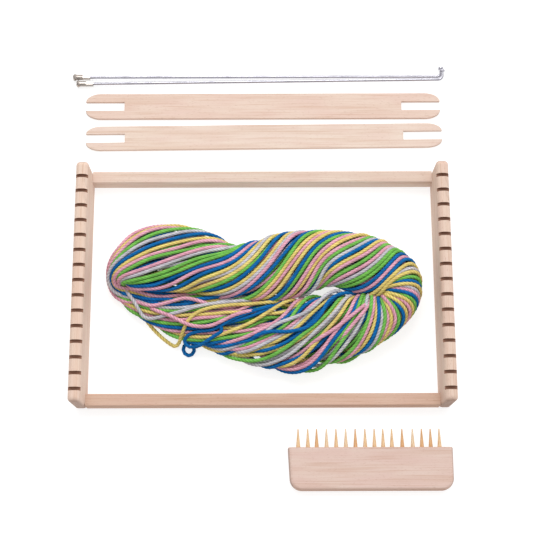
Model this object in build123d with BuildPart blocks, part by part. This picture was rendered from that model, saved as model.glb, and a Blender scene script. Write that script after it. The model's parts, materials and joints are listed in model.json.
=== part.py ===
"""A small wooden weaving loom laid out with its shuttles, edge rods, beater comb and yarn.

Millimetres, +Z up. Everything lies on the plane Z = 0. +X runs along the loom's crossbars,
+Y along its notched side bars. The origin is the middle of the whole layout, on that plane.
"""

import os
from math import cos, radians, sin

from build123d import *

os.makedirs("parts", exist_ok=True)

# ---- layout: where each loose item lies --------------------------------------------------
LOOM_CENTRE_X = 2.33
LOOM_CENTRE_Y = -13.15
# the loose items, from the middle of the loom
REAR_SHUTTLE_X = 0.5
REAR_SHUTTLE_Y = 132.8
FRONT_SHUTTLE_X = 1.2
FRONT_SHUTTLE_Y = 109.8
FRONT_SHUTTLE_TURN = 0.48  # degrees
COMB_X = 70.25
COMB_Y = -121.7

# ---- loom frame --------------------------------------------------------------------------
LOOM_WIDTH = 250.0  # along X, over both side bars
LOOM_DEPTH = 162.0  # along Y, the side bars' length
BAR_THICKNESS = 8.3
BAR_HEIGHT = 35.0
BAR_TOP_ROUNDING = 3.5
BAR_UPRIGHT_ROUNDING = 2.5
BAR_BOTTOM_ROUNDING = 1.5
CROSSBAR_THICKNESS = 8.2
CROSSBAR_HEIGHT = 12.0
CROSSBAR_ROUNDING = 0.9
NOTCH_COUNT = 15
NOTCH_PITCH = 10.22
NOTCH_ROW_SHIFT = -1.05  # how far the row of notches is off the bar's middle
NOTCH_WIDTH = 2.3
NOTCH_DEPTH = 2.8
DOWEL_DIAMETER = 5.0
DOWEL_IN_BAR = 6.0
DOWEL_IN_CROSSBAR = 16.0
DOWEL_CHAMFER = 0.5

# ---- shuttles ----------------------------------------------------------------------------
SHUTTLE_LENGTH = 250.5
SHUTTLE_THICKNESS = 2.5
FORK_SLOT_WIDTH = 6.5
FORK_SLOT_DEPTH = 27.3
FORK_TIP_LENGTH = 10.8
SHUTTLE_EDGE_ROUNDING = 0.5
REAR_SHUTTLE_WIDTH = 19.0
FRONT_SHUTTLE_WIDTH = 17.8

# ---- edge rods and their nipples ---------------------------------------------------------
ROD_DIAMETER = 2.0
ROD_LENGTH = 258.0  # from the plain end to the middle of the hooked leg
ROD_BEND_RADIUS = 3.0
ROD_LEG = 7.0  # from the rod's axis to the end of the head
ROD_HEAD_DIAMETER = 3.8
ROD_HEAD_THICKNESS = 1.3
ROD_HEAD_ROUNDING = 0.5
NIPPLE_LENGTH = 12.0
NIPPLE_DIAMETER = 3.9
NIPPLE_HEAD_DIAMETER = 5.2
NIPPLE_HEAD_LENGTH = 2.4
NIPPLE_WIDEST = 1.32  # how far from the end face the head is at its widest
NIPPLE_FACE_DIAMETER = 3.12
NIPPLE_FLATS = 3.3
NIPPLE_FLATS_LENGTH = 5.0
NIPPLE_SLOT_WIDTH = 1.0
NIPPLE_SLOT_DEPTH = 1.0
NIPPLE_BORE_CLEARANCE = 0.04  # on the radius

# ---- beater comb -------------------------------------------------------------------------
COMB_WIDTH = 108.0
COMB_DEPTH = 28.0
COMB_THICKNESS = 8.5
COMB_CORNER_RADIUS = 8.0
COMB_LEFT_TAPER = 1.5  # how far its left end slants in towards the grip side
COMB_EDGE_ROUNDING = 2.5
COMB_FINE_ROUNDING = 0.8
TOOTH_PITCH = 6.19
TOOTH_ROW_SHIFT = -0.7  # how far the row of teeth is off the handle's middle
# how far each hand-drilled tooth stands from its place in an even row, from the left
TOOTH_DRIFTS = (0, 0.2, -0.2, 0.1, 0.2, 0.4, 0.5, 0.7, 0.6, 0.1, -0.3, 0.3, 1.0, 0.8, 0.4, 0)
TOOTH_DIAMETER = 2.8
TOOTH_TIP_DIAMETER = 0.8
TOOTH_EXPOSED = 12.3
TOOTH_BURIED = 12.0

# ---- yarn hank ---------------------------------------------------------------------------
HANK_HEIGHT = 28.5
HANK_CORNER_RADIUS = 24.0
HANK_EDGE_ROUNDING = 10.0


def loom_point(x, y, z=0.0):
    """A place measured from the middle of the loom's footprint."""
    return Vector(LOOM_CENTRE_X + x, LOOM_CENTRE_Y + y, z)


def save(part, name):
    """Label a finished piece and write its STEP file."""
    part.label = name
    export_step(part, f"parts/{name}.step")


# ==== loom frame ==========================================================================

bar_middle_x = (LOOM_WIDTH - BAR_THICKNESS) / 2
crossbar_length = LOOM_WIDTH - 2 * BAR_THICKNESS
crossbar_middle_y = (LOOM_DEPTH - CROSSBAR_THICKNESS) / 2
dowel_height = CROSSBAR_HEIGHT / 2

for bar_name, side in (("left_notched_bar", -1), ("right_notched_bar", 1)):
    with BuildPart() as bar:
        with BuildSketch(Plane(loom_point(side * bar_middle_x, 0))):
            Rectangle(BAR_THICKNESS, LOOM_DEPTH)
        extrude(amount=BAR_HEIGHT)
        fillet(bar.edges().filter_by(Axis.Z), radius=BAR_UPRIGHT_ROUNDING)
        fillet(bar.edges().group_by(Axis.Z)[-1], radius=BAR_TOP_ROUNDING)
        fillet(bar.edges().group_by(Axis.Z)[0], radius=BAR_BOTTOM_ROUNDING)

        # saw notches for the warp threads, straight across the top of the bar
        notch_floor = BAR_HEIGHT - NOTCH_DEPTH
        with BuildSketch(Plane(loom_point(side * bar_middle_x, NOTCH_ROW_SHIFT, notch_floor))):
            with GridLocations(0, NOTCH_PITCH, 1, NOTCH_COUNT):
                Rectangle(2 * BAR_THICKNESS, NOTCH_WIDTH)
        extrude(amount=2 * NOTCH_DEPTH, mode=Mode.SUBTRACT)

        # blind dowel holes in the inner face, one for each crossbar
        inner_face = Plane(
            loom_point(side * (bar_middle_x - BAR_THICKNESS / 2), 0),
            x_dir=(0, 1, 0),
            z_dir=(side, 0, 0),
        )
        with BuildSketch(inner_face):
            with Locations((0, side * dowel_height)):
                with GridLocations(2 * crossbar_middle_y, 0, 2, 1):
                    Circle(DOWEL_DIAMETER / 2)
        extrude(amount=DOWEL_IN_BAR, mode=Mode.SUBTRACT)
    save(bar.part, bar_name)

for crossbar_name, side in (("front_crossbar", -1), ("rear_crossbar", 1)):
    with BuildPart() as crossbar:
        with BuildSketch(Plane(loom_point(0, side * crossbar_middle_y))):
            Rectangle(crossbar_length, CROSSBAR_THICKNESS)
        extrude(amount=CROSSBAR_HEIGHT)
        fillet(crossbar.edges().filter_by(Axis.X), radius=CROSSBAR_ROUNDING)

        # a dowel hole in each end
        for end in (-1, 1):
            end_face = Plane(
                loom_point(end * crossbar_length / 2, side * crossbar_middle_y, dowel_height),
                z_dir=(-end, 0, 0),
            )
            with BuildSketch(end_face):
                Circle(DOWEL_DIAMETER / 2)
            extrude(amount=DOWEL_IN_CROSSBAR, mode=Mode.SUBTRACT)
    save(crossbar.part, crossbar_name)

for depth_name, y_side in (("front", -1), ("rear", 1)):
    for width_name, x_side in (("left", -1), ("right", 1)):
        joint_x = x_side * (crossbar_length / 2 + DOWEL_IN_BAR)
        dowel_plane = Plane(
            loom_point(joint_x, y_side * crossbar_middle_y, dowel_height),
            z_dir=(-x_side, 0, 0),
        )
        with BuildPart() as dowel:
            with BuildSketch(dowel_plane):
                Circle(DOWEL_DIAMETER / 2)
            extrude(amount=DOWEL_IN_BAR + DOWEL_IN_CROSSBAR)
            chamfer(dowel.edges(), length=DOWEL_CHAMFER)
        save(dowel.part, f"corner_dowel_{depth_name}_{width_name}")

# ==== shuttles ============================================================================


def make_shuttle(width, centre, turn):
    """A flat stick whose ends are open forks with rounded outer corners.

    turn is how far it is turned about Z from lying square to the loom, in degrees.
    """
    half_length = SHUTTLE_LENGTH / 2
    half_width = width / 2
    half_slot = FORK_SLOT_WIDTH / 2
    shoulder_x = half_length - FORK_TIP_LENGTH
    slot_floor_x = half_length - FORK_SLOT_DEPTH
    along = (cos(radians(turn)), sin(radians(turn)), 0)
    lying = Plane(centre, x_dir=along, z_dir=(0, 0, 1))

    with BuildPart() as shuttle:
        with BuildSketch(lying):
            with BuildLine():
                # a quarter of the outline, from the middle of a long edge to the slot floor
                Line((0, half_width), (shoulder_x, half_width))
                EllipticalCenterArc(
                    (shoulder_x, half_slot),
                    FORK_TIP_LENGTH,
                    half_width - half_slot,
                    start_angle=0,
                    arc_size=90,
                )
                Line((half_length, half_slot), (slot_floor_x, half_slot))
                Line((slot_floor_x, half_slot), (slot_floor_x, 0))
                mirror(about=Plane.XZ)
                mirror(about=Plane.YZ)
            make_face()
        extrude(amount=SHUTTLE_THICKNESS)
        long_edges = shuttle.edges().filter_by(GeomType.LINE).group_by(SortBy.LENGTH)[-1]
        fillet(long_edges, radius=SHUTTLE_EDGE_ROUNDING)
    return shuttle.part


rear_shuttle_centre = loom_point(REAR_SHUTTLE_X, REAR_SHUTTLE_Y)
front_shuttle_centre = loom_point(FRONT_SHUTTLE_X, FRONT_SHUTTLE_Y)
save(make_shuttle(REAR_SHUTTLE_WIDTH, rear_shuttle_centre, 0), "shuttle_rear")
save(make_shuttle(FRONT_SHUTTLE_WIDTH, front_shuttle_centre, FRONT_SHUTTLE_TURN), "shuttle_front")

# ==== edge rods and nipples ===============================================================


class RodPose:
    """Where one rod lies: its axis, and the tilt of the hooked leg about that axis.

    thread_start is how far the rod's plain end is inside the nipple, from the nipple's head.
    """

    def __init__(self, head_end, hook_end, leg_tilt, thread_start):
        self.axis = (hook_end - head_end).normalized()
        side = Vector(0, 0, 1).cross(self.axis).normalized()
        up = self.axis.cross(side)
        self.leg = side * cos(radians(leg_tilt)) + up * sin(radians(leg_tilt))
        self.head_end = head_end
        self.plain_end = head_end + self.axis * thread_start


# The front rod's hook lies over the rear rod's, so it is higher and its leg is tilted.
rod_poses = {
    "rear": RodPose(
        head_end=loom_point(-134.5, 154.8, 2.61),
        hook_end=loom_point(127.6, 155.0, 2.0),
        leg_tilt=0,
        thread_start=4,
    ),
    "front": RodPose(
        head_end=loom_point(-132.0, 149.8, 2.61),
        hook_end=loom_point(128.0, 151.9, 4.25),
        leg_tilt=9.5,
        thread_start=2,
    ),
}


def make_rod(pose):
    """A straight wire whose far end is bent into a short leg with a flat round head."""
    flat = Plane(pose.plain_end, x_dir=pose.axis, z_dir=pose.axis.cross(pose.leg))
    leg_end = ROD_LEG - ROD_HEAD_THICKNESS
    with BuildPart() as rod:
        with BuildLine(flat) as centreline:
            FilletPolyline(
                (0, 0),
                (ROD_LENGTH, 0),
                (ROD_LENGTH, leg_end),
                radius=ROD_BEND_RADIUS,
            )
        with BuildSketch(Plane(pose.plain_end, z_dir=pose.axis)):
            Circle(ROD_DIAMETER / 2)
        sweep(path=centreline.wires()[0])

        head_base = flat.from_local_coords((ROD_LENGTH, leg_end, 0))
        with BuildSketch(Plane(head_base, z_dir=pose.leg)):
            Circle(ROD_HEAD_DIAMETER / 2)
        extrude(amount=ROD_HEAD_THICKNESS)
        head_rim = rod.edges().filter_by(GeomType.CIRCLE).sort_by(Axis(head_base, pose.leg))[-1]
        fillet(head_rim, radius=ROD_HEAD_ROUNDING)
    return rod.part


def make_nipple(pose):
    """A turned nut with a slotted round head, a shank with wrench flats and a bore."""
    shank = NIPPLE_DIAMETER / 2
    head = NIPPLE_HEAD_DIAMETER / 2
    face = NIPPLE_FACE_DIAMETER / 2
    # local X runs along the nipple from its head, local Y is the radius
    profile_plane = Plane(pose.head_end, x_dir=pose.axis, z_dir=pose.axis.cross(pose.leg))
    with BuildPart() as nipple:
        with BuildSketch(profile_plane):
            with BuildLine():
                Polyline((NIPPLE_WIDEST, head), (NIPPLE_HEAD_LENGTH, shank), (NIPPLE_LENGTH, shank))
                Line((NIPPLE_LENGTH, shank), (NIPPLE_LENGTH, 0))
                Line((NIPPLE_LENGTH, 0), (0, 0))
                Line((0, 0), (0, face))
                RadiusArc((0, face), (NIPPLE_WIDEST, head), head)
            make_face()
        revolve(axis=Axis(pose.head_end, pose.axis))

        # wrench flats on the end where the rod goes in
        flats_plane = Plane(
            pose.head_end + pose.axis * (NIPPLE_LENGTH - NIPPLE_FLATS_LENGTH), z_dir=pose.axis
        )
        with BuildSketch(flats_plane):
            Circle(NIPPLE_DIAMETER)
            Rectangle(NIPPLE_FLATS, NIPPLE_FLATS, mode=Mode.SUBTRACT)
        extrude(amount=NIPPLE_FLATS_LENGTH, mode=Mode.SUBTRACT)

        # driver slot across the head
        with BuildSketch(Plane(pose.head_end, z_dir=pose.axis)):
            Rectangle(NIPPLE_SLOT_WIDTH, 2 * NIPPLE_HEAD_DIAMETER)
        extrude(amount=NIPPLE_SLOT_DEPTH, mode=Mode.SUBTRACT)

        # bore for the rod, from end to end
        with BuildSketch(Plane(pose.head_end, z_dir=pose.axis)):
            Circle(ROD_DIAMETER / 2 + NIPPLE_BORE_CLEARANCE)
        extrude(amount=NIPPLE_LENGTH, mode=Mode.SUBTRACT)
    return nipple.part


for rod_place, rod_pose in rod_poses.items():
    save(make_rod(rod_pose), f"rod_{rod_place}")
    save(make_nipple(rod_pose), f"nipple_{rod_place}")

# ==== beater comb =========================================================================

comb_middle = loom_point(COMB_X, COMB_Y)
comb_top_y = comb_middle.Y + COMB_DEPTH / 2
tooth_height = COMB_THICKNESS / 2
first_tooth_x = comb_middle.X + TOOTH_ROW_SHIFT - TOOTH_PITCH * (len(TOOTH_DRIFTS) - 1) / 2
tooth_places = [
    first_tooth_x + TOOTH_PITCH * index + drift for index, drift in enumerate(TOOTH_DRIFTS)
]

with BuildPart() as comb_handle:
    with BuildSketch(Plane(comb_middle)) as comb_outline:
        with BuildLine():
            Polyline(
                (-COMB_WIDTH / 2, COMB_DEPTH / 2),
                (COMB_WIDTH / 2, COMB_DEPTH / 2),
                (COMB_WIDTH / 2, -COMB_DEPTH / 2),
                (COMB_LEFT_TAPER - COMB_WIDTH / 2, -COMB_DEPTH / 2),
                close=True,
            )
        make_face()
        fillet(comb_outline.vertices().group_by(Axis.Y)[0], radius=COMB_CORNER_RADIUS)
    extrude(amount=COMB_THICKNESS)
    # the grip side is well rounded, the side with the teeth only eased
    toothed_face = comb_handle.faces().sort_by(Axis.Y)[-1]
    grip_edges = [
        edge
        for edge in comb_handle.edges().filter_by(Axis.Z, reverse=True)
        if edge not in toothed_face.edges()
    ]
    fillet(grip_edges, radius=COMB_EDGE_ROUNDING)
    toothed_face = comb_handle.faces().sort_by(Axis.Y)[-1]
    fillet(toothed_face.edges(), radius=COMB_FINE_ROUNDING)

    # drilled holes for the teeth
    for tooth_x in tooth_places:
        with BuildSketch(Plane((tooth_x, comb_top_y, tooth_height), z_dir=(0, -1, 0))):
            Circle(TOOTH_DIAMETER / 2)
        extrude(amount=TOOTH_BURIED, mode=Mode.SUBTRACT)
save(comb_handle.part, "comb_handle")

for tooth_number, tooth_x in enumerate(tooth_places, start=1):
    tooth_plane = Plane(
        (tooth_x, comb_top_y - TOOTH_BURIED, tooth_height), x_dir=(1, 0, 0), z_dir=(0, 0, 1)
    )
    with BuildPart() as tooth:
        with BuildSketch(tooth_plane):
            with BuildLine():
                # half of the tooth's profile: local Y runs along it, local X is the radius
                tip_start = TOOTH_BURIED + TOOTH_EXPOSED - TOOTH_TIP_DIAMETER / 2
                Polyline(
                    (0, 0),
                    (TOOTH_DIAMETER / 2, 0),
                    (TOOTH_DIAMETER / 2, TOOTH_BURIED),
                    (TOOTH_TIP_DIAMETER / 2, tip_start),
                )
                CenterArc((0, tip_start), TOOTH_TIP_DIAMETER / 2, 0, 90)
                Line((0, TOOTH_BURIED + TOOTH_EXPOSED), (0, 0))
            make_face()
        revolve(axis=Axis((tooth_x, comb_top_y, tooth_height), (0, 1, 0)))
    save(tooth.part, f"comb_tooth_{tooth_number:02d}")

# ==== yarn hank ===========================================================================

# corners of the hank's outline, before they are rounded, from the middle of the loom
HANK_CORNERS = [
    (-108, 0),
    (-106, 36),
    (-66, 48),
    (-14, 33),
    (42, 44),
    (104, 33),
    (113, -16),
    (64, -54),
    (14, -62),
    (-52, -46),
]

with BuildPart() as yarn_hank:
    with BuildSketch(Plane(loom_point(0, 0))):
        with BuildLine():
            FilletPolyline(*HANK_CORNERS, radius=HANK_CORNER_RADIUS, close=True)
        make_face()
    extrude(amount=HANK_HEIGHT)
    hank_rim = yarn_hank.edges().group_by(Axis.Z)[-1] + yarn_hank.edges().group_by(Axis.Z)[0]
    fillet(hank_rim, radius=HANK_EDGE_ROUNDING)
save(yarn_hank.part, "yarn_hank")
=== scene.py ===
import json
import math

import bpy
import numpy as np
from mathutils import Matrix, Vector
from mathutils.kdtree import KDTree


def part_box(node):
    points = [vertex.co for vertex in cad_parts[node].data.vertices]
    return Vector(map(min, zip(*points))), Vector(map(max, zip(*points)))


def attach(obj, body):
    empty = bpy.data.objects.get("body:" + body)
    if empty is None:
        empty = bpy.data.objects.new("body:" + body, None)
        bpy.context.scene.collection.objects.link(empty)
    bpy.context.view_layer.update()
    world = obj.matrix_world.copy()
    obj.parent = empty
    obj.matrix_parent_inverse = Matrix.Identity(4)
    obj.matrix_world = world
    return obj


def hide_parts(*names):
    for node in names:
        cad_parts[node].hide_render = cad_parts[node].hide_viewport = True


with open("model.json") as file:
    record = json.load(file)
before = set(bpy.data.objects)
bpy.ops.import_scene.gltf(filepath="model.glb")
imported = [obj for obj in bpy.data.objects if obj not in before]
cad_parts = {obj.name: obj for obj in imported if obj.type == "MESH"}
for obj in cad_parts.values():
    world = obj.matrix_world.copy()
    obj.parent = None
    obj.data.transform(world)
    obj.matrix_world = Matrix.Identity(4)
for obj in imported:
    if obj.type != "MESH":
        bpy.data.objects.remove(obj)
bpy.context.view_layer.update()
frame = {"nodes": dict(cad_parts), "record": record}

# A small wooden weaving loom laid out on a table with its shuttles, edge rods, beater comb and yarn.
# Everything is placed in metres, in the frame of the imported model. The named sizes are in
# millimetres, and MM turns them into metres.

MM = 0.001
PER_METRE = (1 / MM, 1 / MM, 1 / MM)
TINY = 1e-6  # keeps a division clear of zero
SCENE = bpy.context.scene

left_low, left_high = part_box("left_notched_bar")
right_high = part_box("right_notched_bar")[1]
LOOM_CENTRE = Vector(((left_low.x + right_high.x) / 2, (left_low.y + left_high.y) / 2, 0))


# ==== camera ==============================================================================

CAMERA_FROM_LOOM = Vector((2.1, -184.4, 791.1)) * MM
CAMERA_PITCH = math.radians(14.23)  # away from looking straight down
CAMERA_TURN = math.radians(-0.166)
CAMERA_LENS = 80.4

camera_data = bpy.data.cameras.new("camera")
camera_data.lens = CAMERA_LENS
camera_data.sensor_width = 36
camera_data.clip_start = 0.01
camera = bpy.data.objects.new("camera", camera_data)
camera.location = LOOM_CENTRE + CAMERA_FROM_LOOM
camera.rotation_euler = (CAMERA_PITCH, 0, CAMERA_TURN)
SCENE.collection.objects.link(camera)
SCENE.camera = camera


# ==== the yarn's route ====================================================================

STRAND = 2.55  # the yarn's diameter
STEPS = 180  # points round one turn of the hank while it settles

# The hank is a flattened ring of strands that folds over itself at its left tip. Each row is a
# place along its middle line, clockwise from that tip: x, y, z from the middle of the loom, half
# width and half height of the bundle, its twist in degrees per mm, how far the bundle's outer
# edge lags its inner edge, and how far its strands stray.
RING = np.array([
    (-96.5, 5.0, 7.0, 9.5, 6.0, 3.0, 0, 1.0),
    (-99.2, 8.0, 12.0, 6.0, 9.0, 3.0, 0, 1.0),
    (-95.5, 11.0, 16.5, 13.0, 7.0, 2.0, 0, 1.0),
    (-88.5, 12.5, 17.8, 18.0, 9.5, 0.8, 0, 1.2),
    (-78, 16.5, 16.5, 22.5, 11.0, 0.6, 0, 1.4),
    (-62, 18.3, 14.8, 24.0, 12.5, 1.1, 0, 1.6),
    (-45, 16.3, 14.0, 23.8, 13.0, 2.2, 0, 1.6),
    (-23, 9.0, 13.5, 19.6, 12.7, 3.0, 0, 1.6),
    (0, 9.5, 13.4, 23.6, 12.8, 3.0, 0, 1.6),
    (22, 14.5, 13.7, 24.8, 13.0, 3.0, 0, 1.6),
    (40, 18.8, 14.0, 20.8, 13.3, 3.2, 0, 1.4),
    (52.8, 17.7, 14.2, 20.6, 13.4, 2.8, 2, 1.0),
    (65, 14.5, 14.4, 22.2, 13.6, 3.0, 4, 0.8),
    (76, 11.5, 14.5, 23.0, 13.8, 4.0, 6, 0.7),
    (84.5, 8.8, 14.6, 22.2, 13.8, 5.5, 8, 0.7),
    (90.5, 5.0, 14.6, 21.0, 13.8, 6.5, 10, 0.7),
    (93, -0.8, 14.6, 18.8, 13.8, 6.5, 10, 0.7),
    (92.8, -7.5, 14.5, 17.0, 13.8, 6.5, 10, 0.7),
    (91.2, -12.8, 14.4, 16.4, 13.6, 6.5, 10, 0.7),
    (87.8, -17.0, 14.2, 16.0, 13.4, 6.5, 10, 0.7),
    (83.0, -20.8, 13.8, 16.4, 13.0, 6.0, 9, 0.8),
    (77.0, -22.0, 13.3, 19.4, 12.6, 5.0, 6, 1.0),
    (67.5, -24.6, 12.9, 21.8, 12.3, 4.0, 3, 1.3),
    (54, -28.6, 12.4, 23.4, 11.8, 3.0, 0, 1.8),
    (40, -31, 11.8, 26.0, 11.3, 2.6, 0, 2.4),
    (22, -34.0, 11.0, 27.0, 10.5, 2.3, 0, 2.8),
    (0, -32, 10.2, 25.5, 9.8, 2.1, 0, 3.0),
    (-23, -27, 9.2, 22.0, 8.8, 1.9, 0, 3.2),
    (-45, -20.5, 8.2, 18.5, 7.8, 1.7, 0, 3.0),
    (-62, -15.5, 7.0, 16.0, 6.6, 1.5, 0, 2.8),
    (-77, -9.5, 5.6, 12.5, 5.4, 1.5, 0, 2.0),
    (-88.5, -0.5, 5.2, 11.0, 5.0, 3.0, 0, 1.4),
])
HALF_WIDTH, HALF_HEIGHT, TWIST, LAG, STRAYING = 3, 4, 5, 6, 7  # columns of RING
FULL_TURNS = 3  # the hank's whole twist round the ring, so that its strands meet again
ROW_OVERLAP = 3  # rows repeated at each end, so that the closed curve is smooth where it meets
ROW_PIECES = 30  # short steps between two rows

# The strands in one cut through the bundle: how many lie in each layer, and how far out. The
# outer layer's colours start at its crest, CREST_START mm from the ring's first place.
LAYERS = ((31, 1.0), (23, 0.77), (15, 0.53), (7, 0.26))
LAYER_COLOURS = (
    "G P L G G B P B Y L Y G B Y L P B G Y P Y B G P Y P G L B Y P",
    "G B L Y P B G L P Y B L G P B Y L G B P L Y G",
    "L G B P Y G B L Y P G B L P Y",
    "B P G L Y B L",
)
CREST_START = 46.0
SEED = 7

# How a strand wanders in the bundle: the waves' lengths in steps, and their heights for a row
# that strays by 1, as parts of the bundle's half width.
CROSSWISE_WAVES = (37.0, 23.0, 61.0)
UPWARD_WAVES = (41.0, 19.0, 67.0)
CROSSING_WAVE_HEIGHT = 0.035
DRIFT_WAVES = (97.0, 131.0, 71.0)
DRIFT_HEIGHT = 0.04  # radians
SINKING_WAVES = (47.0, 29.0)
SINKING = 0.05
FARTHEST_OUT = 1.03
# Where in its turn a strand starts to move over to the slot of its next turn, and for how long.
MOVES_OVER = (0.58, 0.74)
MOVING_OVER = 0.24

# Strands that stray from the bundle where its lower half is loose, each led from right to left,
# in mm from the middle of the loom.
STRAYS = (
    # a bight of yellow pulled out on to the table
    ("Y", (
        (13.6, -10.7, 8), (4.9, -12.5, 17), (-8.4, -13.7, 18), (-25, -14.7, 18),
        (-38.3, -17.3, 17.5), (-46.3, -21, 16), (-51.1, -27.1, 14), (-53.4, -32.1, 12),
        (-55.6, -37.4, 7), (-58.1, -40.3, 1.5), (-63.8, -36.8, 1.5), (-71.3, -30.3, 1.5),
        (-77.4, -23.6, 2.5), (-82.1, -16.5, 5), (-85.5, -10, 6.5),
    )),
    # blue that turns back on itself at the bundle's edge
    ("B", (
        (13, -12.3, 8), (3.3, -15.9, 15.5), (-8.4, -19.6, 17), (-21, -24.7, 17),
        (-33.3, -31, 15), (-44.4, -32.0, 14), (-50.4, -33.9, 13), (-52.8, -37.8, 12),
        (-49.4, -41.2, 11), (-41.5, -40.6, 12), (-32.5, -35.6, 13), (-21.1, -29.2, 13),
        (-11.8, -24.4, 12), (-4, -25, 9), (-4, -31, 6.5), (-13, -34, 5.5),
    )),
    # a small blue curl on the table
    ("B", (
        (-38.7, -34.5, 5), (-44.9, -36.8, 3), (-50.3, -37.3, 2.2), (-53.5, -38.3, 1.8),
        (-54.1, -42, 1.5), (-52.1, -45.6, 1.5), (-48.8, -46.7, 1.5), (-46.0, -44.6, 1.8),
        (-45.5, -40.9, 3), (-48.2, -36.3, 4), (-53.6, -30.8, 4), (-61.1, -23.3, 4),
    )),
    ("L", (
        (-0.4, -9.9, 8), (-11.7, -11.2, 16), (-25, -12.7, 16.5), (-33.4, -13.5, 16.5),
        (-43.3, -15.2, 16.5), (-55, -18.8, 15.5), (-66.8, -21.2, 13), (-74.8, -22.6, 10),
        (-79.1, -22.0, 8), (-81.6, -18.6, 9), (-84.5, -13.2, 11), (-88.2, -7.8, 12.5),
        (-92, -3, 11.5), (-94.5, 1, 8),
    )),
    ("P", (
        (-33.8, -12.4, 14), (-41.8, -12.2, 14.5), (-46.8, -10.1, 16), (-51.7, -9.2, 16.5),
        (-58.4, -10.9, 16.5), (-65.1, -12.8, 16), (-71.8, -13.8, 14.5), (-76.3, -14.5, 13),
        (-81.4, -12.3, 11), (-85.2, -7.8, 9),
    )),
    ("P", (
        (8.3, -15.3, 8), (-1.7, -18, 15.5), (-15, -20.4, 16.5), (-25, -24.6, 16.5),
        (-33.3, -28.6, 15.5), (-41.6, -29.2, 14.5), (-50, -27.4, 14), (-58.4, -23, 13.5),
        (-68.5, -18.6, 13), (-75.3, -15.1, 10), (-81.7, -10.7, 6),
    )),
    ("P", (
        (-23.2, -32.1, 10), (-33.5, -34.7, 9.5), (-41.9, -35.1, 8.5), (-52.1, -34, 6),
        (-59, -29.5, 4.5), (-65.8, -25.7, 4), (-72, -19.8, 4), (-78.8, -12.4, 5),
    )),
    # waves on top of the bundle's lower half
    ("B", (
        (62.6, -5.2, 14), (56.7, -5.4, 17), (51.5, -7.1, 19.5), (45.5, -10.6, 21.5),
        (41.2, -16.8, 22.5), (38.5, -21.9, 23), (34.5, -26.9, 23), (28.7, -31, 22.5),
        (22.1, -32.9, 22), (13.9, -33.6, 21), (5.7, -33, 20), (-1.8, -34.5, 18.5),
        (-9.7, -37.8, 15),
    )),
    ("L", (
        (58.6, -3, 13.5), (51.8, -3.3, 15.5), (46.6, -5.1, 18), (41.4, -8.6, 20.5),
        (37.2, -13.3, 22), (33.8, -16.6, 22), (26.3, -21.7, 22.3), (18.1, -24.9, 21.5),
        (9.8, -28, 20.5), (5.7, -30.3, 19.5), (0.9, -34.3, 17.5), (-7.1, -37.6, 14),
    )),
    ("P", (
        (71.7, -12.5, 22), (64.9, -18.2, 23.5), (59.2, -22.9, 23.5), (47.6, -31.9, 22.5),
        (34.4, -39.7, 20), (26.2, -45.8, 16.5), (18.1, -50.1, 12), (9.8, -50.6, 9),
        (1.5, -47.9, 9), (-8.5, -43.5, 9.5),
    )),
    ("P", (
        (68.2, -18.8, 23), (61.5, -26.6, 22), (55.6, -33.6, 20), (49.1, -40.3, 16.5),
        (43.3, -46.1, 12), (38.1, -49.8, 8), (30.2, -50.9, 5), (22.2, -51.4, 4),
    )),
    ("G", (
        (72.7, -37.5, 12), (66.3, -44, 7), (57, -50.2, 4), (50.4, -51.9, 2.5), (43.7, -51.2, 2.5),
    )),
)

STRAY_STEP = 2.7  # between a stray stretch's points
CLEAR_OF_STRAYS = 13  # points kept free round a stray stretch of the same cord
OUT_OF_REACH = 1000.0  # the cost of a place that another stray stretch has taken
# how much of a cord a stray stretch takes over, for its straight length
LEAST_SPAN = 0.9
MOST_SPAN = 1.3
RESTING = STRAND * 0.95  # between two strands where one lies on the other
UNDER = 5.0  # a stray led further than this under the bundle's surface stays there
STIFFENING_ROUNDS = 4
SAG = 0.2  # how far a stray may hang below a straight line between its neighbours

SETTLING_ROUNDS = 40
SEARCH_EVERY = 4  # rounds between two searches for neighbouring points
SEARCH_REACH = STRAND * 1.35
SAME_STRAND = 4  # points along one cord that are too near to press on each other
SHARED_PUSH = 0.6  # how much less a point moves for each neighbour that presses on it
PULL_HOME = 0.05  # part of the way back to its first place that a point goes in each round
STIFFNESS = 0.3  # part of the way to its neighbours' middle that a point goes in each round

BEFORE_JOIN = 3  # points smoothed before the place where a stray stretch is put in
AFTER_JOIN = 5
JOINING_ROUNDS = 6
KEEP_EVERY = 2  # of the points of a finished route, the ones that become control points
TIGHTEST_BEND = 2.7  # radius along the bundle
ON_TABLE = 4.2  # the height under which a strand keeps the curl that it is led in
BUNCHED = 1.5  # where two control points become one
EASING_ROUNDS = 80


def smooth_line(rows):
    """A curve through the rows of an open table, as many short steps."""
    gaps = np.linalg.norm(np.diff(rows[:, :3], axis=0), axis=1)
    slopes = np.gradient(rows, np.concatenate([[0], np.cumsum(gaps)]), axis=0)
    u = np.linspace(0, 1, ROW_PIECES, endpoint=False)[:, None]
    spans = [
        (2 * u**3 - 3 * u**2 + 1) * start
        + (u**3 - 2 * u**2 + u) * leave * gap
        + (3 * u**2 - 2 * u**3) * end
        + (u**3 - u**2) * arrive * gap
        for start, end, leave, arrive, gap in zip(rows, rows[1:], slopes, slopes[1:], gaps)
    ]
    return np.vstack([*spans, rows[-1:]])


def evenly(points, count):
    """A polyline's rows resampled at even distances, and how far along each one is."""
    steps = np.linalg.norm(np.diff(points[:, :3], axis=0), axis=1)
    travelled = np.concatenate([[0], np.cumsum(steps)])
    along = np.linspace(0, travelled[-1], count)
    return np.array([np.interp(along, travelled, column) for column in points.T]).T, along


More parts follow.
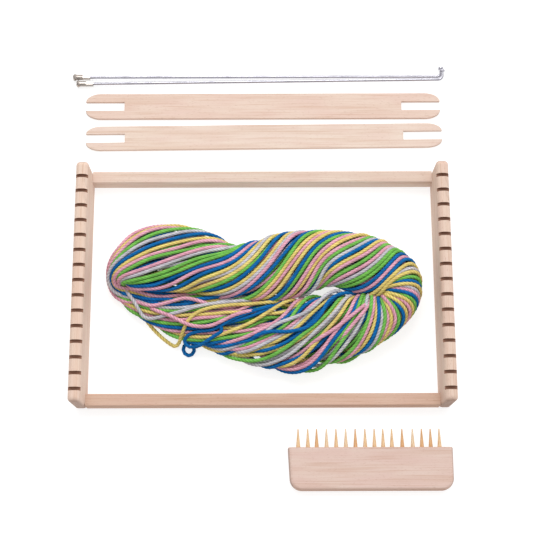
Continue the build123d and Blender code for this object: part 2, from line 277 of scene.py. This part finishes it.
def ring_stations(count):
    """The ring's rows, evenly spaced along its middle line, and its whole length."""
    fine = smooth_line(np.vstack([RING[-ROW_OVERLAP:], RING, RING[:ROW_OVERLAP]]))
    once = fine[ROW_OVERLAP * ROW_PIECES : (ROW_OVERLAP + len(RING)) * ROW_PIECES + 1]
    stations, along = evenly(once, count + 1)
    return stations[:-1], along[-1]


def wander(rng, count, wavelengths):
    """A smooth random wave along a strand, about 1 high."""
    along = np.arange(count)
    wave = np.zeros(count)
    for wavelength in wavelengths:
        wave += np.sin(2 * math.pi * (along / wavelength + rng.random())) * rng.uniform(0.5, 1.0)
    return wave / math.sqrt(len(wavelengths))


def frames(stations):
    """At each station, the directions to the bundle's outer side, to its top and ahead."""
    ahead = np.roll(stations[:, :3], -1, 0) - np.roll(stations[:, :3], 1, 0)
    ahead /= np.linalg.norm(ahead, axis=1)[:, None]
    outward = np.cross((0, 0, 1), ahead)
    outward /= np.linalg.norm(outward, axis=1)[:, None]
    return outward, np.cross(ahead, outward), ahead


def fold_turns(outward, top, ahead):
    """How far the strands turn in the bundle's frame from each station to the next, untwisted."""
    carried = outward.copy()
    following = np.roll(ahead, -1, 0)
    carried -= following * (carried * following).sum(1)[:, None]
    return np.arctan2(
        (carried * np.roll(top, -1, 0)).sum(1), (carried * np.roll(outward, -1, 0)).sum(1)
    )


def between(columns, step):
    """Rows of a closed table at fractional steps."""
    count = len(columns)
    closed = np.vstack([columns, columns[:1]])
    return np.array([np.interp(step % count, np.arange(count + 1), c) for c in closed.T]).T


def hank_routes():
    """The unsettled points of each colour's cord, in mm from the middle of the loom."""
    stations, ring_length = ring_stations(STEPS)
    spacing = ring_length / STEPS
    outward, top, ahead = frames(stations)
    fold = fold_turns(outward, top, ahead)
    rate = stations[:, TWIST]
    twist = rate / rate.sum() * -(2 * math.pi * FULL_TURNS + fold.sum())
    phase = np.concatenate([[0], np.cumsum(twist + fold)])

    slots = {}
    for (number, out), colours in zip(LAYERS, LAYER_COLOURS):
        for index, colour in enumerate(colours.split()):
            angle = math.pi / 2 - phase[round(CREST_START / spacing)] + 2 * math.pi * index / number
            slots.setdefault(colour, []).append(out * np.array((math.cos(angle), math.sin(angle))))

    rng = np.random.default_rng(SEED)
    cords = {}
    for colour, places in slots.items():
        # each turn goes on in the nearest slot of its colour that is still free
        chain = [places.pop(0)]
        while places:
            places.sort(key=lambda place: np.linalg.norm(place - chain[-1]))
            chain.append(places.pop(0))
        turns = len(chain)
        chain = np.array(chain + chain[-1:])
        step = np.arange(STEPS * turns)
        index = step // STEPS
        part = step / STEPS % 1
        start = rng.uniform(*MOVES_OVER, turns)[index]
        shift = np.clip((part - start) / MOVING_OVER, 0, 1)[:, None]
        shift = shift * shift * (3 - 2 * shift)
        slot = chain[index] * (1 - shift) + chain[index + 1] * shift
        row = stations[step % STEPS]
        looseness = row[:, STRAYING]
        stray = CROSSING_WAVE_HEIGHT * looseness
        slot[:, 0] += stray * wander(rng, len(step), CROSSWISE_WAVES)
        slot[:, 1] += stray * wander(rng, len(step), UPWARD_WAVES)
        out = np.maximum(np.linalg.norm(slot, axis=1), TINY)
        slot *= np.minimum(1, FARTHEST_OUT / out)[:, None]
        drift = DRIFT_HEIGHT * looseness * wander(rng, len(step), DRIFT_WAVES)
        sinking = np.maximum(wander(rng, len(step), SINKING_WAVES), 0)
        slot *= (1 - SINKING * looseness * sinking)[:, None]
        # strands move round the flattened bundle at an even speed, so slower along its flat top
        wide, high = row[:, HALF_WIDTH] ** 2, row[:, HALF_HEIGHT] ** 2
        flatness = (wide - high) / (wide + high) / 4
        angle = np.arctan2(slot[:, 1], slot[:, 0]) + phase[step % STEPS] + drift
        angle += flatness * np.sin(2 * angle)
        out = np.linalg.norm(slot, axis=1)
        across = out * np.cos(angle)
        up = out * np.sin(angle)
        place = step % STEPS - row[:, LAG] * across / spacing
        here = between(stations, place)
        cords[colour] = (
            here[:, :3]
            + between(outward, place) * (across * (here[:, HALF_WIDTH] - STRAND / 2))[:, None]
            + between(top, place) * (up * (here[:, HALF_HEIGHT] - STRAND / 2))[:, None]
        )
    return cords


def stray_stretches(cords):
    """For each stray stretch, its cord, the points that it takes over and its own line."""
    taken = {letter: np.zeros(len(route), bool) for letter, route in cords.items()}
    found = []
    for letter, stretch in STRAYS:
        line = smooth_line(np.array(stretch, float))
        length = np.linalg.norm(np.diff(line, axis=0), axis=1).sum()
        line, _ = evenly(line, int(length / STRAY_STEP))
        route = cords[letter]
        straight = np.linalg.norm(line[-1] - line[0]) / STRAY_STEP
        leaving = np.linalg.norm(route - line[0], axis=1)
        arriving = np.linalg.norm(route - line[-1], axis=1)
        best = None
        shortest, longest = int(straight * LEAST_SPAN), int(straight * MOST_SPAN) + 2
        for span in range(shortest, longest):
            cost = leaving[:-span] + arriving[span:]
            busy = np.convolve(taken[letter], np.ones(span + CLEAR_OF_STRAYS), "same")
            cost = cost + OUT_OF_REACH * (busy[span // 2 : span // 2 + len(cost)] > 0)
            start = int(np.argmin(cost))
            if best is None or cost[start] < best[0]:
                best = (cost[start], start, start + span)
        _, start, end = best
        taken[letter][start : end + 1] = True
        found.append((letter, start, end, line))
    return found, taken


def lay_down(line, others):
    """Rest a stray line on the points under it, apart from where it is led inside the bundle."""
    rest = np.full(len(line), STRAND / 2)
    for k, place in enumerate(line):
        gap = np.linalg.norm(others[:, :2] - place[:2], axis=1)
        near = gap < RESTING
        if near.any():
            heights = others[near, 2] + np.sqrt(RESTING**2 - gap[near] ** 2)
            rest[k] = max(rest[k], heights.max())
    outside = line[:, 2] > rest - UNDER
    height = np.where(outside, rest, line[:, 2])
    for _ in range(STIFFENING_ROUNDS):
        both = height[:-2] + height[2:]
        height[1:-1] = np.maximum(height[1:-1], 0.5 * both - SAG) * 0.5 + 0.25 * both
    laid = line.copy()
    laid[:, 2] = np.maximum(height, STRAND / 2)
    return laid


def settle(cords, taken):
    """Press the strands apart where they overlap, smooth them and lay them on the table."""
    names = list(cords)
    points = np.vstack([cords[name] for name in names])
    absent = np.concatenate([taken[name] for name in names])
    owner = np.concatenate([np.full(len(cords[name]), k) for k, name in enumerate(names)])
    ends = np.cumsum([len(cords[name]) for name in names])
    loose = np.ones(len(points), bool)
    loose[np.concatenate([[0], ends[:-1], ends - 1])] = False
    middle = np.flatnonzero(loose)
    target = points.copy()
    for turn in range(SETTLING_ROUNDS):
        if turn % SEARCH_EVERY == 0:
            tree = KDTree(len(points))
            for k, p in enumerate(points):
                tree.insert(p, k)
            tree.balance()
            pairs = np.array([
                (k, other)
                for k, p in enumerate(points)
                if not absent[k]
                for _, other, _ in tree.find_range(p, SEARCH_REACH)
                if other > k
                and not absent[other]
                and (owner[other] != owner[k] or other - k > SAME_STRAND)
            ])
        first, second = pairs.T
        apart = points[first] - points[second]
        distance = np.maximum(np.linalg.norm(apart, axis=1), TINY)
        close = distance < STRAND
        first, second = first[close], second[close]
        push = apart[close] * ((STRAND - distance[close]) / distance[close] * 0.5)[:, None]
        moved = np.zeros_like(points)
        touched = np.zeros(len(points))
        np.add.at(moved, first, push)
        np.add.at(moved, second, -push)
        np.add.at(touched, first, 1)
        np.add.at(touched, second, 1)
        points += moved / np.maximum(touched * SHARED_PUSH, 1)[:, None]
        points += PULL_HOME * (target - points)
        average = (points[middle - 1] + points[middle + 1]) / 2
        points[middle] += STIFFNESS * (average - points[middle])
        points[:, 2] = np.maximum(points[:, 2], STRAND / 2)
    return {name: part for name, part in zip(names, np.split(points, ends[:-1]))}


def control_points(route):
    """The route's control points, smoothed wherever they bend more tightly than yarn would."""
    length = np.linalg.norm(np.diff(route, axis=0), axis=1).sum()
    route = evenly(route, int(length / STRAY_STEP))[0][::KEEP_EVERY]
    for _ in range(EASING_ROUNDS):
        steps = np.diff(route, axis=0)
        size = np.linalg.norm(steps, axis=1)
        if size.min() < BUNCHED:
            route = route[np.append(True, size >= BUNCHED)]
            continue
        straight = (steps[:-1] * steps[1:]).sum(1) / (size[:-1] * size[1:])
        leg = (size[:-1] + size[1:]) / 4
        radius = leg * (1 + straight) / 2 / np.sqrt(np.maximum((1 - straight) / 2, TINY**2))
        sharp = np.flatnonzero((radius < TIGHTEST_BEND) & (route[1:-1, 2] > ON_TABLE)) + 1
        if not len(sharp):
            break
        near = np.concatenate([sharp - 1, sharp, sharp + 1])
        near = np.unique(np.clip(near, 1, len(route) - 2))
        route[near] = 0.5 * route[near] + 0.25 * (route[near - 1] + route[near + 1])
    return route


def finished_routes():
    """Each cord's whole route: the settled bundle with the stray stretches laid over it."""
    cords = hank_routes()
    stretches, taken = stray_stretches(cords)
    cords = settle(cords, taken)
    others = np.vstack([cords[letter][~taken[letter]] for letter in cords])
    laid = []
    for letter, start, end, line in stretches:
        line = lay_down(line, others)
        others = np.vstack([others, line])
        laid.append((letter, start, end, line))
    # the last stretch of a cord is put in first, so that the earlier ones' places stay right
    for letter, start, end, line in sorted(laid, key=lambda item: -item[1]):
        route = np.vstack([cords[letter][: start + 1], line, cords[letter][end:]])
        for at in (start, start + len(line)):
            span = np.arange(max(at - BEFORE_JOIN, 1), min(at + AFTER_JOIN, len(route) - 1))
            for _ in range(JOINING_ROUNDS):
                route[span] += 0.5 * ((route[span - 1] + route[span + 1]) / 2 - route[span])
        cords[letter] = route
    return {letter: control_points(route) for letter, route in cords.items()}


# ==== the yarn's pieces ===================================================================

YARN_COLOURS = {
    "B": ("yarn_blue", (0.0, 0.165, 0.49)),
    "G": ("yarn_green", (0.215, 0.62, 0.105)),
    "P": ("yarn_pink", (0.95, 0.46, 0.57)),
    "Y": ("yarn_yellow", (0.95, 0.74, 0.22)),
    "L": ("yarn_lilac", (0.68, 0.665, 0.70)),
}
SIDES = 9  # of the tube
RING_GAP = 0.85  # between the tube's rings
PLIES = 3
PLY_DEPTH = 0.08  # of the radius
PLY_TURN = 7.8  # of yarn for one turn of its plies
FIBRE_PITCH = 0.9  # of yarn between the fibre ridges of one ply
FIBRE_WRAPS = 2  # ridges that one ply shows across its width
CUT_END = 0.35  # of the radius, at the very end of a strand
TAPER_RINGS = 2  # over which a strand's end narrows
CURVE_STEPS = 4  # from one control point of a route to the next


def spline_points(name, control):
    """The route's NURBS spline through its control points, read back as a polyline."""
    curve = bpy.data.curves.new(name + "_route", "CURVE")
    curve.dimensions = "3D"
    curve.resolution_u = CURVE_STEPS
    spline = curve.splines.new("NURBS")
    spline.points.add(len(control) - 1)
    for point, place in zip(spline.points, control):
        point.co = (*place, 1)
    spline.order_u = 3
    spline.use_endpoint_u = True
    obj = bpy.data.objects.new(name + "_route", curve)
    SCENE.collection.objects.link(obj)
    mesh = bpy.data.meshes.new_from_object(obj)
    points = np.array([v.co for v in mesh.vertices])
    bpy.data.objects.remove(obj)
    bpy.data.curves.remove(curve)
    bpy.data.meshes.remove(mesh)
    return points


def yarn_tube(name, path, radius):
    """A plied strand: a tube whose section has one lobe for each ply, turning along it."""
    length = np.linalg.norm(np.diff(path, axis=0), axis=1).sum()
    path, along = evenly(path, int(length / (RING_GAP * MM)))
    tangent = np.gradient(path, axis=0)
    tangent /= np.linalg.norm(tangent, axis=1)[:, None]
    normal = np.zeros_like(path)
    across = np.cross(tangent[0], (0, 0, 1))
    for k in range(len(path)):
        across = across - tangent[k] * across.dot(tangent[k])
        across /= np.linalg.norm(across)
        normal[k] = across
    binormal = np.cross(tangent, normal)
    angle = np.linspace(0, 2 * math.pi, SIDES, endpoint=False)
    # the rings turn with the plies, so that each column of corners follows one ply
    turned = angle[None, :] + 2 * math.pi * along[:, None] / (PLY_TURN * MM)
    ring = radius * np.repeat(1 + PLY_DEPTH * np.cos(PLIES * angle)[None, :], len(path), 0)
    ends = np.minimum(np.arange(len(path)), np.arange(len(path))[::-1])
    ring *= np.clip(CUT_END + (1 - CUT_END) * ends / TAPER_RINGS, 0, 1)[:, None]
    corners = (
        path[:, None, :]
        + normal[:, None, :] * (ring * np.cos(turned))[..., None]
        + binormal[:, None, :] * (ring * np.sin(turned))[..., None]
    )
    vertices = corners.reshape(-1, 3)
    start, side = np.meshgrid(np.arange(len(path) - 1) * SIDES, np.arange(SIDES), indexing="ij")
    near, far = start + side, start + (side + 1) % SIDES
    faces = np.stack([near, far, far + SIDES, near + SIDES], axis=-1).reshape(-1, 4)
    mesh = bpy.data.meshes.new(name)
    last = (len(path) - 1) * SIDES
    caps = [list(range(SIDES))[::-1], [last + i for i in range(SIDES)]]
    mesh.from_pydata(vertices.tolist(), [], faces.tolist() + caps)
    mesh.polygons.foreach_set("use_smooth", [True] * len(mesh.polygons))
    uv = mesh.uv_layers.new(name="yarn")
    around = np.stack([side, side + 1, side + 1, side], axis=-1).reshape(-1) / SIDES
    station = np.stack([start, start, start + SIDES, start + SIDES], axis=-1).reshape(-1) // SIDES
    places = np.zeros((len(mesh.loops), 2))
    places[: len(around), 0] = around
    places[: len(station), 1] = along[station] / MM
    uv.data.foreach_set("uv", places.reshape(-1))
    mesh.update()
    obj = bpy.data.objects.new(name, mesh)
    SCENE.collection.objects.link(obj)
    return obj


# ==== materials ===========================================================================
# Each piece has a tone of its own, and the factors given to tinted() make its other shades.

QUARTER_TURN = math.radians(90)
NOTCH_PITCH = 10.22
NOTCH_COUNT = 15
NOTCH_WIDTH = 2.3
NOTCH_DEPTH = 2.8
NOTCH_WALL_MARGIN = 0.02  # takes in the notch's own walls
NOTCH_FLOOR_MARGIN = 0.05
BAR_TOP = left_high.z / MM


def new_material(name):
    """A new material, its node tree, and its Principled shader."""
    material = bpy.data.materials.new(name)
    material.use_nodes = True
    return material, material.node_tree, material.node_tree.nodes["Principled BSDF"]


def add(tree, kind, inputs, **settings):
    """A new node's first output. Each input is a value or another node's output."""
    node = tree.nodes.new("ShaderNode" + kind)
    for key, value in settings.items():
        setattr(node, key, value)
    for key, value in inputs.items():
        if isinstance(value, bpy.types.NodeSocket):
            tree.links.new(value, node.inputs[key])
        else:
            node.inputs[key].default_value = value
    return node.outputs[0]


def math_node(tree, operation, first, second=0.0):
    """The operation's result. Each value is a number or another node's output."""
    return add(tree, "Math", {0: first, 1: second}, operation=operation)


def fade(tree, value, start, end, low=0.0, high=1.0):
    """low where value is start, high where it is end, and a straight ramp between."""
    return add(
        tree,
        "MapRange",
        {"Value": value, "From Min": start, "From Max": end, "To Min": low, "To Max": high},
    )


def blend_colour(tree, amount, first, second):
    """first where amount is 0 and second where it is 1."""
    colours = [c if isinstance(c, bpy.types.NodeSocket) else (*c, 1) for c in (first, second)]
    return add(tree, "MixRGB", {"Fac": amount, "Color1": colours[0], "Color2": colours[1]})


def tinted(colour, factors):
    """The colour with each channel multiplied by its own factor."""
    return tuple(channel * factor for channel, factor in zip(colour, factors))


def surface(tree, turn=0.0, shift=(0, 0, 0)):
    """The place in mm, turned about Z and shifted, and every kind of texture coordinate."""
    where = tree.nodes.new("ShaderNodeTexCoord").outputs
    settings = {"Vector": where["Object"], "Scale": PER_METRE, "Rotation": (0, 0, turn)}
    return add(tree, "Mapping", {**settings, "Location": shift}), where


def rough_relief(tree, shader, height, strength, depth):
    """Fine relief whose ridges are at most depth mm high."""
    bump = add(tree, "Bump", {"Height": height, "Strength": strength, "Distance": depth * MM})
    tree.links.new(bump, shader.inputs["Normal"])


def stretched_noise(tree, place, along, across, detail=2.0, distortion=0.0):
    """Noise whose patches are along mm long in X and across mm wide."""
    fitted = add(tree, "Mapping", {"Vector": place, "Scale": (1 / along, 1 / across, 1 / across)})
    look = {"Scale": 1.0, "Detail": detail, "Distortion": distortion}
    return add(tree, "TexNoise", {"Vector": fitted, **look})


def wood_material(name, tone, grain="X", shift=0.0, side_shading=0.3, notch_row=None):
    """Sanded, unvarnished beech: growth bands, fine grain lines and short flecks along the grain.

    shift moves the pattern, so that no two pieces share it. The argument after shift is how much
    painted shade darkens the front and rear faces against the top. notch_row is the Y, in mm, of the
    middle of a row of saw-cut notches, whose insides get painted shade.
    """
    material, tree, shader = new_material(name)
    turn = 0.0 if grain == "X" else QUARTER_TURN
    place, where = surface(tree, turn, (37 * shift, 13 * shift, 7 * shift))
    bands = stretched_noise(tree, place, 120, 4.5, detail=3.0, distortion=0.25)
    lines = stretched_noise(tree, place, 40, 0.8, detail=4.0)
    flecks = stretched_noise(tree, place, 2.4, 0.42, detail=1.0)
    patches = stretched_noise(tree, place, 30, 9.0)

    pinker = tinted(tone, (0.985, 0.955, 0.955))
    creamier = tinted(tone, (1.01, 1.03, 1.02))
    colour = blend_colour(tree, fade(tree, patches, 0.38, 0.62), pinker, creamier)
    band = tinted(tone, (0.90, 0.83, 0.77))
    colour = blend_colour(tree, fade(tree, bands, 0.50, 0.70, 0.0, 0.8), colour, band)
    line = tinted(tone, (0.80, 0.67, 0.57))
    colour = blend_colour(tree, fade(tree, lines, 0.50, 0.72, 0.0, 0.7), colour, line)
    fleck = tinted(tone, (0.66, 0.53, 0.45))
    fleck_amount = fade(tree, flecks, 0.64, 0.74, 0.0, 0.5)
    colour = blend_colour(tree, fleck_amount, colour, fleck)

    # painted shade: the front and rear faces are darker than the sanded top, as less light falls on
    # them; end grain is greyer and porous
    normal = tree.nodes.new("ShaderNodeSeparateXYZ")
    tree.links.new(where["Normal"], normal.inputs[0])
    upward = math_node(tree, "ABSOLUTE", normal.outputs["Z"])
    sideways = math_node(tree, "ABSOLUTE", normal.outputs["Y"])
    side_shade = tinted(tone, (0.80, 0.68, 0.60))
    colour = blend_colour(tree, fade(tree, sideways, 0.25, 0.9, 0.0, side_shading), colour, side_shade)
    endward = math_node(tree, "ABSOLUTE", normal.outputs[grain])
    pores = stretched_noise(tree, place, 0.5, 0.35, detail=2.0)
    end_colour = blend_colour(
        tree,
        fade(tree, pores, 0.45, 0.65),
        tinted(tone, (0.58, 0.50, 0.46)),
        tinted(tone, (0.36, 0.30, 0.28)),
    )
    colour = blend_colour(tree, fade(tree, endward, 0.55, 0.95, 0.0, 0.85), colour, end_colour)

    # painted shade: the inside of each notch is darkened where shade falls in it
    if notch_row is not None:
        spot = tree.nodes.new("ShaderNodeSeparateXYZ")
        tree.links.new(where["Object"], spot.inputs[0])
        from_row = math_node(tree, "SUBTRACT", spot.outputs["Y"], notch_row * MM)
        steps = math_node(tree, "DIVIDE", from_row, NOTCH_PITCH * MM)
        nearest = math_node(tree, "ROUND", steps)
        off_notch = math_node(tree, "ABSOLUTE", math_node(tree, "SUBTRACT", steps, nearest))
        half_width = (NOTCH_WIDTH / 2 + NOTCH_WALL_MARGIN) / NOTCH_PITCH
        in_notch = math_node(tree, "LESS_THAN", off_notch, half_width)
        outermost = math_node(tree, "ABSOLUTE", nearest)
        in_row = math_node(tree, "LESS_THAN", outermost, NOTCH_COUNT / 2)
        notch_floor = (BAR_TOP - NOTCH_DEPTH - NOTCH_FLOOR_MARGIN) * MM
        above_floor = math_node(tree, "GREATER_THAN", spot.outputs["Z"], notch_floor)
        in_row = math_node(tree, "MULTIPLY", in_row, above_floor)
        notch_shade = math_node(tree, "MULTIPLY", in_notch, in_row)
        colour = blend_colour(tree, notch_shade, colour, tinted(tone, (0.40, 0.27, 0.21)))
    tree.links.new(colour, shader.inputs["Base Color"])

    # handled edges are a little smoother than the faces
    edge = math_node(tree, "MULTIPLY", upward, math_node(tree, "SUBTRACT", 1.0, upward))
    worn = fade(tree, edge, 0.0, 0.25, 0.0, -0.12)
    roughness = math_node(tree, "ADD", fade(tree, lines, 0.3, 0.7, 0.60, 0.74), worn)
    tree.links.new(roughness, shader.inputs["Roughness"])
    shader.inputs["Specular IOR Level"].default_value = 0.35
    height = math_node(tree, "SUBTRACT", lines, fleck_amount)
    rough_relief(tree, shader, height, 0.35, 0.12)
    return material


def bamboo_material(name, tone, shift):
    """Straight-fibred bamboo with darker strands, cut to a point."""
    material, tree, shader = new_material(name)
    place, _ = surface(tree, QUARTER_TURN, (11 * shift, 5 * shift, 0))
    fibres = stretched_noise(tree, place, 22, 0.28, detail=3.0)
    stains = stretched_noise(tree, place, 7, 1.2)
    dark_fibre = tinted(tone, (0.74, 0.58, 0.42))
    colour = blend_colour(tree, fade(tree, fibres, 0.35, 0.68), tone, dark_fibre)
    stain = tinted(tone, (0.85, 0.66, 0.45))
    colour = blend_colour(tree, fade(tree, stains, 0.5, 0.75, 0.0, 0.5), colour, stain)
    tree.links.new(colour, shader.inputs["Base Color"])
    tree.links.new(fade(tree, fibres, 0.3, 0.7, 0.42, 0.6), shader.inputs["Roughness"])
    rough_relief(tree, shader, fibres, 0.4, 0.1)
    return material


def metal_material(name, bright, dull, streak, roughness):
    """Plated metal with draw marks streak mm long in X and duller, slightly stained patches."""
    material, tree, shader = new_material(name)
    place, _ = surface(tree)
    marks = stretched_noise(tree, place, streak, 0.25)
    stains = stretched_noise(tree, place, 9.0, 3.0)
    colour = blend_colour(tree, fade(tree, stains, 0.5, 0.72), bright, dull)
    tree.links.new(colour, shader.inputs["Base Color"])
    shader.inputs["Metallic"].default_value = 0.95
    marked = fade(tree, marks, 0.3, 0.7, roughness, roughness + 0.1)
    stained = fade(tree, stains, 0.5, 0.75, 0.0, 0.15)
    tree.links.new(math_node(tree, "ADD", marked, stained), shader.inputs["Roughness"])
    rough_relief(tree, shader, marks, 0.03, 0.004)
    return material


def yarn_material(name, colour):
    """Soft plied yarn: painted shade in the grooves between the plies, fibres round each ply, uneven
    dye.
    """
    material, tree, shader = new_material(name)
    place, _ = surface(tree)
    mapped = tree.nodes.new("ShaderNodeUVMap")
    mapped.uv_map = "yarn"
    split = tree.nodes.new("ShaderNodeSeparateXYZ")
    tree.links.new(mapped.outputs[0], split.inputs[0])
    around, along = split.outputs["X"], split.outputs["Y"]

    ply = math_node(tree, "COSINE", math_node(tree, "MULTIPLY", around, 2 * math.pi * PLIES))
    # each ply's own fibres slant the other way to the plies
    fuzz = stretched_noise(tree, place, 0.9, 0.9, detail=2.0)
    slant = math_node(tree, "MULTIPLY", along, 2 * math.pi / FIBRE_PITCH)
    wrap = math_node(tree, "MULTIPLY", around, 2 * math.pi * PLIES * FIBRE_WRAPS)
    even = math_node(tree, "ADD", slant, wrap)
    uneven = math_node(tree, "MULTIPLY", fuzz, 9.0)
    fibres = math_node(tree, "SINE", math_node(tree, "ADD", even, uneven))
    dye = stretched_noise(tree, place, 6.0, 6.0)
    down = stretched_noise(tree, place, 0.25, 0.25, detail=1.0)

    deep = tinted(colour, (0.80, 0.80, 0.82))
    pale = tuple(min(channel * 1.1 + 0.004, 0.97) for channel in colour)
    shade = blend_colour(tree, fade(tree, dye, 0.35, 0.65), deep, pale)
    ridge = tinted(colour, (0.7, 0.7, 0.72))
    shade = blend_colour(tree, fade(tree, fibres, -1.0, 1.0, 0.0, 0.3), shade, ridge)
    # painted shade in the grooves where the plies meet
    groove_shade = tinted(colour, (0.42, 0.39, 0.42))
    shade = blend_colour(tree, fade(tree, ply, 0.2, -1.0, 0.0, 0.62), shade, groove_shade)
    downy = tuple(0.75 * channel + 0.16 for channel in colour)
    shade = blend_colour(tree, fade(tree, down, 0.6, 0.8, 0.0, 0.25), shade, downy)
    tree.links.new(shade, shader.inputs["Base Color"])
    tree.links.new(fade(tree, fuzz, 0.3, 0.7, 0.86, 0.98), shader.inputs["Roughness"])
    shader.inputs["Specular IOR Level"].default_value = 0.12
    shader.inputs["Sheen Weight"].default_value = 0.05
    shader.inputs["Sheen Roughness"].default_value = 0.6
    ridges = math_node(tree, "MULTIPLY", fibres, 0.5)
    fluff = math_node(tree, "MULTIPLY", down, 1.5)
    rough_relief(tree, shader, math_node(tree, "ADD", ridges, fluff), 0.5, 0.08)
    return material


# ==== the wooden and metal pieces' finish =================================================

mounts = {mount["name"]: mount["pos_m"] for mount in frame["record"]["mounts"]}
notch_row = mounts["left_warp_notches"][1] / MM

BEECH = (0.72, 0.54, 0.445)
BEECH_LEFT = (0.765, 0.585, 0.485)
BEECH_PALE = (0.72, 0.575, 0.49)
BEECH_BROWN = (0.645, 0.445, 0.345)
BEECH_PINK = (0.70, 0.525, 0.46)
BEECH_SHUTTLE_REAR = (0.73, 0.56, 0.475)
BEECH_SHUTTLE_FRONT = (0.745, 0.60, 0.515)
BAMBOO = ((0.84, 0.62, 0.38), (0.76, 0.48, 0.25), (0.86, 0.70, 0.50))
TOOTH_TONES = (1, 1, 2, 3, 1, 3, 2, 1, 1, 1, 1, 2, 3, 2, 2, 1)  # from the left, out of BAMBOO
STEEL = (0.50, 0.49, 0.54)
STEEL_DULL = (0.40, 0.39, 0.44)
NICKEL = (0.56, 0.51, 0.47)
NICKEL_DULL = (0.30, 0.25, 0.22)

finishes = {
    "left_notched_bar": wood_material("wood_left_bar", BEECH_LEFT, "Y", 1, 0.3, notch_row),
    "right_notched_bar": wood_material("wood_right_bar", BEECH, "Y", 2, 0.3, notch_row),
    "rear_crossbar": wood_material("wood_rear_crossbar", BEECH_PALE, "X", 3, 0.1),
    "front_crossbar": wood_material("wood_front_crossbar", BEECH_BROWN, "X", 4, 0.7),
    "shuttle_rear": wood_material("wood_rear_shuttle", BEECH_SHUTTLE_REAR, "X", 5),
    "shuttle_front": wood_material("wood_front_shuttle", BEECH_SHUTTLE_FRONT, "X", 6),
    "comb_handle": wood_material("wood_comb", BEECH_PINK, "X", 7, 1.0),
}
dowel_wood = wood_material("wood_dowels", BEECH, "X", 8)
steel = metal_material("steel_rods", STEEL, STEEL_DULL, 80.0, 0.22)
nickel = metal_material("nickel_nipples", NICKEL, NICKEL_DULL, 1.5, 0.10)
bamboo = {n: bamboo_material(f"bamboo_{n}", tone, n) for n, tone in enumerate(BAMBOO, start=1)}

for place_name in ("rear", "front"):
    finishes["rod_" + place_name] = steel
    finishes["nipple_" + place_name] = nickel
for node_name in frame["nodes"]:
    if node_name.startswith("corner_dowel"):
        finishes[node_name] = dowel_wood
for number, tone_number in enumerate(TOOTH_TONES, start=1):
    finishes[f"comb_tooth_{number:02d}"] = bamboo[tone_number]

for node_name, finish in finishes.items():
    frame["nodes"][node_name].material_slots[0].material = finish


# ==== the yarn's pieces in place ==========================================================

for letter, route in finished_routes().items():
    piece_name, colour = YARN_COLOURS[letter]
    control = [LOOM_CENTRE + Vector(p) * MM for p in route]
    path = spline_points(piece_name, control)
    tube = yarn_tube(piece_name, path, STRAND / 2 * MM)
    tube.data.materials.append(yarn_material(piece_name, colour))
    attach(tube, "yarn")
    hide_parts("yarn_hank")


# ==== floor, light and view ===============================================================

FLOOR_REACH = 12.0  # metres
FLOOR_GREY = (0.42, 0.42, 0.42, 1)
FLOOR_GLOW = 0.72
TOWARDS_STUDIO_LIGHT = (0.30, 0.56, 0.77)
DIMMEST, BRIGHTEST = 0.12, 1.1  # the studio's light from opposite sides
KEY_PLACE = (0.0, 0.8, 1.3)  # metres
KEY_SIZE = 0.8  # metres
KEY_POWER = 9  # watts

floor_mesh = bpy.data.meshes.new("floor")
corners = [(x * FLOOR_REACH, y * FLOOR_REACH, 0) for x, y in ((-1, -1), (1, -1), (1, 1), (-1, 1))]
floor_mesh.from_pydata(corners, [], [(0, 1, 2, 3)])
floor = bpy.data.objects.new("floor", floor_mesh)
SCENE.collection.objects.link(floor)
floor_material, _, floor_shader = new_material("floor")
floor_shader.inputs["Base Color"].default_value = FLOOR_GREY
floor_shader.inputs["Roughness"].default_value = 1.0
floor_shader.inputs["Specular IOR Level"].default_value = 0.0
floor_shader.inputs["Emission Color"].default_value = (1, 1, 1, 1)
floor_shader.inputs["Emission Strength"].default_value = FLOOR_GLOW
floor_mesh.materials.append(floor_material)

# the studio is bright above and behind, and darker towards the viewer's side
world = bpy.data.worlds.new("studio")
world.use_nodes = True
world_tree = world.node_tree
background = world_tree.nodes["Background"]
background.inputs["Color"].default_value = (1, 1, 1, 1)
direction = world_tree.nodes.new("ShaderNodeTexCoord").outputs["Generated"]
toward_light = world_tree.nodes.new("ShaderNodeVectorMath")
toward_light.operation = "DOT_PRODUCT"
toward_light.inputs[1].default_value = TOWARDS_STUDIO_LIGHT
world_tree.links.new(direction, toward_light.inputs[0])
glow = fade(world_tree, toward_light.outputs["Value"], -0.6, 0.9, DIMMEST, BRIGHTEST)
world_tree.links.new(glow, background.inputs["Strength"])
SCENE.world = world


def area_light(name, place, size, power):
    """A soft box that points at the middle of the loom."""
    data = bpy.data.lights.new(name, "AREA")
    data.shape = "SQUARE"
    data.size = size
    data.energy = power
    light = bpy.data.objects.new(name, data)
    light.location = place
    light.rotation_euler = (LOOM_CENTRE - Vector(place)).to_track_quat("-Z", "Y").to_euler()
    SCENE.collection.objects.link(light)


area_light("key", KEY_PLACE, KEY_SIZE, KEY_POWER)
SCENE.view_settings.view_transform = "Standard"
SCENE.view_settings.look = "None"
